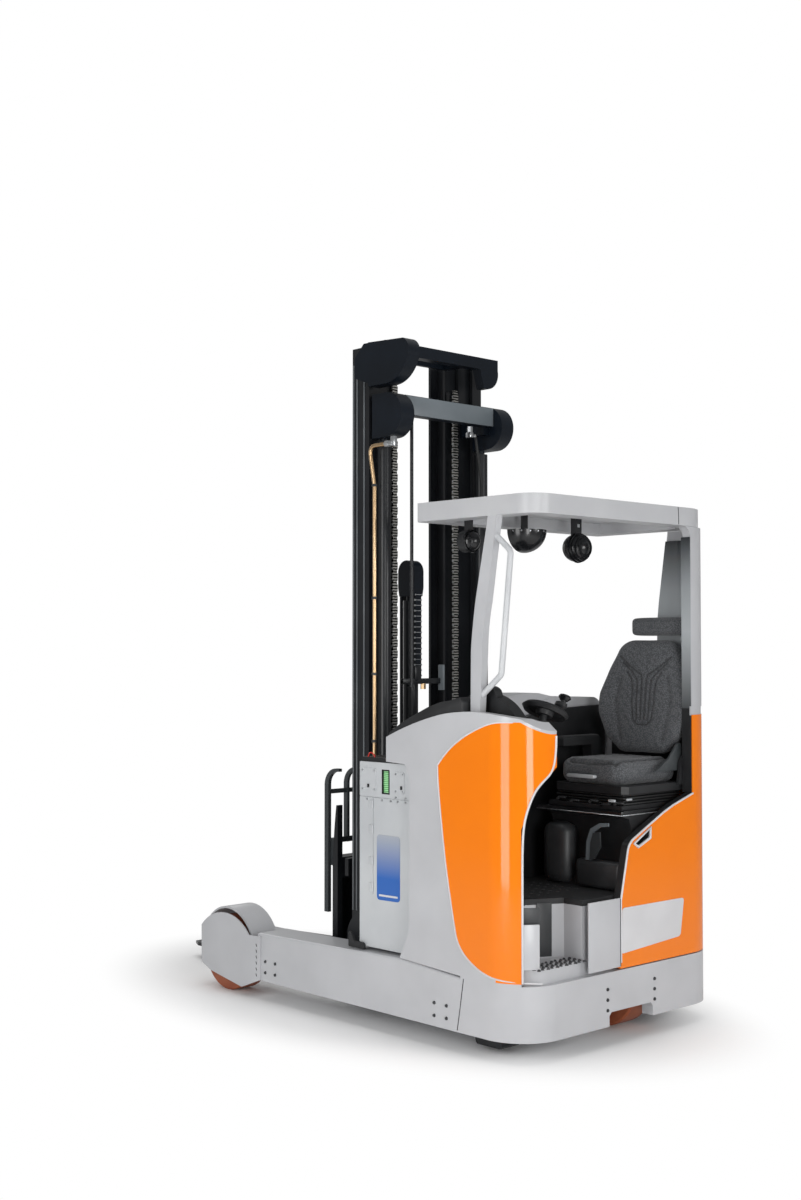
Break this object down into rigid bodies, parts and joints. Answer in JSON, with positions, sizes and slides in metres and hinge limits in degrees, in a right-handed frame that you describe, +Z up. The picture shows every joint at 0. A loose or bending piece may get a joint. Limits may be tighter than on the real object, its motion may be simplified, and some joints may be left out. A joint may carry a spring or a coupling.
{
  "type": "reach truck",
  "caption": "Sit-on reach truck: side-facing seat under an overhead guard, battery, and a nested three-stage mast with forks that rolls out between two wheeled legs.",
  "frame": {"origin": "on the floor, under the middle of the overall length and width", "axes": "+X towards the fork tips, +Y to the truck's left, +Z up"},
  "size_m": [2.675, 1.286, 2.985],
  "materials": {
    "grey_paint": "satin light grey paint",
    "roof_paint": "satin pale grey paint",
    "orange_paint": "gloss orange paint",
    "mast_black": "satin black paint",
    "bar_grey": "satin mid grey paint",
    "bright_steel": "ground bright steel",
    "chain_steel": "oiled dark steel",
    "brass_pipe": "drawn yellow metal pipe",
    "drive_tread": "cast polyurethane tread",
    "wheel_hub": "cast hub",
    "black_plastic": "grained black plastic",
    "floor_rubber": "ribbed rubber",
    "seat_fabric": "woven dark grey cloth",
    "battery_grey": "satin grey paint",
    "lamp_glass": "clear lens",
    "mirror_glass": "convex mirror"
  },
  "bodies": {
    "chassis": {"chassis_frame": "grey_paint", "reach_leg_left": "grey_paint", "reach_leg_right": "grey_paint", "wheel_cover_left": "grey_paint", "wheel_cover_right": "grey_paint", "load_axle_left": "bright_steel", "load_axle_right": "bright_steel", "support_skid": "mast_black", "drive_plate": "mast_black", "drive_motor": "mast_black", "side_cover_left": "grey_paint", "side_panel_left": "orange_paint", "side_cover_right": "grey_paint", "rear_panel": "orange_paint", "step_box": "grey_paint", "floor_mat": "floor_rubber", "seat_box": "black_plastic", "seat_suspension": "black_plastic", "seat_cushion": "seat_fabric", "seat_backrest": "seat_fabric", "headrest": "seat_fabric", "armrest": "black_plastic", "dash_console": "black_plastic", "dash_hood": "black_plastic", "steering_column": "black_plastic", "front_hood": "grey_paint", "guard_roof": "roof_paint", "guard_pillar_left": "grey_paint", "guard_pillar_right": "grey_paint", "grab_rail": "bar_grey", "battery_box": "battery_grey", "battery_rails": "mast_black", "reach_cylinder": "mast_black", "battery_tray": "grey_paint", "dash_panel": "black_plastic", "battery_cover": "black_plastic", "work_lamps": "black_plastic", "rear_mirror": "black_plastic"},
    "load_wheel_left": {"load_wheel_left": "drive_tread"},
    "load_wheel_right": {"load_wheel_right": "drive_tread"},
    "drive_unit": {"drive_fork": "mast_black"},
    "drive_wheel": {"drive_wheel": "drive_tread"},
    "steering_wheel": {"steering_wheel": "black_plastic"},
    "mast_base": {"mast_carriage": "mast_black", "mast_outer": "mast_black", "lift_cylinders": "mast_black", "hydraulic_pipe": "brass_pipe", "reach_rod": "bright_steel"},
    "mast_middle": {"mast_middle": "mast_black", "lift_yoke": "mast_black", "lift_chains": "chain_steel"},
    "mast_inner": {"mast_inner": "mast_black", "mast_crosshead": "mast_black", "free_lift_cylinder": "mast_black"},
    "free_lift": {"free_lift_head": "mast_black"},
    "fork_carriage": {"fork_carriage": "mast_black"},
    "forks": {"fork_frame": "mast_black", "fork_left": "mast_black", "fork_right": "mast_black", "load_backrest": "mast_black"}
  },
  "joints": [
    {"name": "load_wheel_left_spin", "type": "hinge", "parent": "chassis", "child": "load_wheel_left", "pos_m": [0.5875, 0.553, 0.175], "axis": [0, 1, 0], "continuous": true},
    {"name": "load_wheel_right_spin", "type": "hinge", "parent": "chassis", "child": "load_wheel_right", "pos_m": [0.5875, -0.553, 0.175], "axis": [0, 1, 0], "continuous": true},
    {"name": "drive_steer", "type": "hinge", "parent": "chassis", "child": "drive_unit", "pos_m": [-1.0555, -0.2, 0.18], "axis": [0, 0, 1], "range_deg": [-90, 90]},
    {"name": "drive_wheel_spin", "type": "hinge", "parent": "drive_unit", "child": "drive_wheel", "pos_m": [-1.0555, -0.2, 0.18], "axis": [0, 1, 0], "continuous": true},
    {"name": "steering_wheel_turn", "type": "hinge", "parent": "chassis", "child": "steering_wheel", "pos_m": [-1.1275, 0.295, 1.345], "axis": [0, -0.4226, 0.9063], "continuous": true},
    {"name": "mast_reach", "type": "slide", "parent": "chassis", "child": "mast_base", "axis": [1, 0, 0], "range_m": [0, 0.6]},
    {"name": "mast_lift", "type": "slide", "parent": "mast_base", "child": "mast_middle", "axis": [0, 0, 1], "range_m": [0, 2.2]},
    {"name": "inner_lift", "type": "slide", "parent": "mast_middle", "child": "mast_inner", "axis": [0, 0, 1], "range_m": [0, 2.2]},
    {"name": "free_lift_rise", "type": "slide", "parent": "mast_inner", "child": "free_lift", "axis": [0, 0, 1], "range_m": [0, 0.82]},
    {"name": "carriage_rise", "type": "slide", "parent": "mast_inner", "child": "fork_carriage", "axis": [0, 0, 1], "range_m": [0, 1.64]},
    {"name": "fork_tilt", "type": "hinge", "parent": "fork_carriage", "child": "forks", "pos_m": [0.0855, 0, 0.6], "axis": [0, 1, 0], "range_deg": [-4, 2]}
  ],
  "couplings": [
    {"joint": "inner_lift", "follows": "mast_lift", "ratio": 1},
    {"joint": "carriage_rise", "follows": "free_lift_rise", "ratio": 2}
  ]
}
